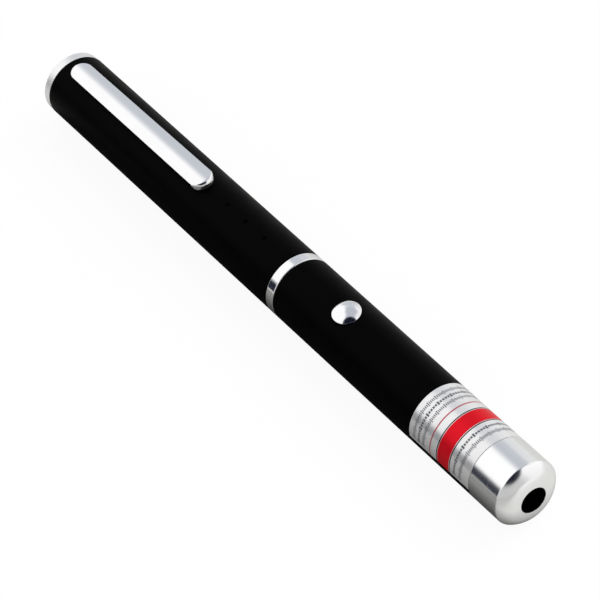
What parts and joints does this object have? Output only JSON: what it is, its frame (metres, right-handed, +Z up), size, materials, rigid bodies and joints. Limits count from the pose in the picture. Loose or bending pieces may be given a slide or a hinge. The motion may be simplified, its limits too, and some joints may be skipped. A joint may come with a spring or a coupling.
{
  "type": "laser pointer",
  "caption": "Pen-shaped laser pointer: black barrels, chromed clip, ring, press button and nose with a beam opening; the rear half unscrews and pulls off for its cells.",
  "frame": {"origin": "on the resting surface, under the middle of the pen's overall length", "axes": "+X along the pen from tail to nose, +Z up through the button and the pocket clip, with the barrel's axis 7 mm up"},
  "size_m": [0.1548, 0.014, 0.0156],
  "materials": {
    "black_lacquer": "soft-touch matte black lacquer on brass tube",
    "chrome": "bright chrome plate",
    "satin_chrome": "satin chrome plate",
    "foil": "metallised film with plain printed bands",
    "spring_steel": "nickel-plated spring steel",
    "brass": "turned brass",
    "cell_jacket": "printed metallic film over a steel can",
    "black_plastic": "moulded black plastic",
    "white_plastic": "moulded white plastic",
    "board_resin": "green solder mask on glass-epoxy board",
    "optical_glass": "coated optical glass"
  },
  "bodies": {
    "front_half": {"front_barrel": "black_lacquer", "mid_ring": "chrome", "thread_coupling": "brass", "foil_label": "foil", "nose_cap": "satin_chrome", "battery_contact": "brass", "contact_carrier": "white_plastic", "driver_board": "board_resin", "board_cradle": "black_plastic", "switch_body": "black_plastic", "switch_dome": "spring_steel", "driver_chip": "black_plastic", "current_trimmer": "white_plastic", "sense_resistor": "black_plastic", "filter_capacitor": "black_plastic", "laser_diode": "brass", "diode_ring": "brass", "diode_holder": "brass", "crystal_holder": "brass", "laser_crystal": "optical_glass", "module_housing": "brass", "expander_lens": "optical_glass", "lens_cell": "brass", "collimator_lens": "optical_glass", "lens_ring": "brass"},
    "button": {"push_button": "chrome", "switch_plunger": "white_plastic"},
    "cells": {"rear_cell": "cell_jacket", "front_cell": "cell_jacket"},
    "tail_spring": {"tail_spring": "spring_steel"},
    "rear_half": {"rear_barrel": "black_lacquer", "tail_cap": "chrome", "clip_stud": "spring_steel"},
    "clip": {"pocket_clip": "chrome"}
  },
  "joints": [
    {"name": "button_press", "type": "slide", "parent": "front_half", "child": "button", "axis": [0, 0, -1], "range_m": [0, 0.0004], "stiffness_N_per_m": 2500, "springref_m": -0.0003, "deforming": ["switch_dome"]},
    {"name": "cells_back_off", "type": "slide", "parent": "front_half", "child": "cells", "axis": [-1, 0, 0], "range_m": [0, 0.0048]},
    {"name": "rear_half_pull", "type": "slide", "parent": "cells", "child": "tail_spring", "axis": [-1, 0, 0], "range_m": [0, 0.08]},
    {"name": "barrel_unscrew", "type": "hinge", "parent": "tail_spring", "child": "rear_half", "pos_m": [0.0026, 0, 0.007], "axis": [-1, 0, 0], "range_deg": [0, 1728]},
    {"name": "clip_flex", "type": "hinge", "parent": "rear_half", "child": "clip", "pos_m": [-0.07017, 0, 0.0145], "axis": [0, -1, 0], "range_deg": [0, 3], "stiffness_Nm_per_rad": 1, "springref_deg": -1.15}
  ],
  "couplings": [
    {"joint": "barrel_unscrew", "follows": "cells_back_off", "rad_per_m": 6283.2}
  ]
}
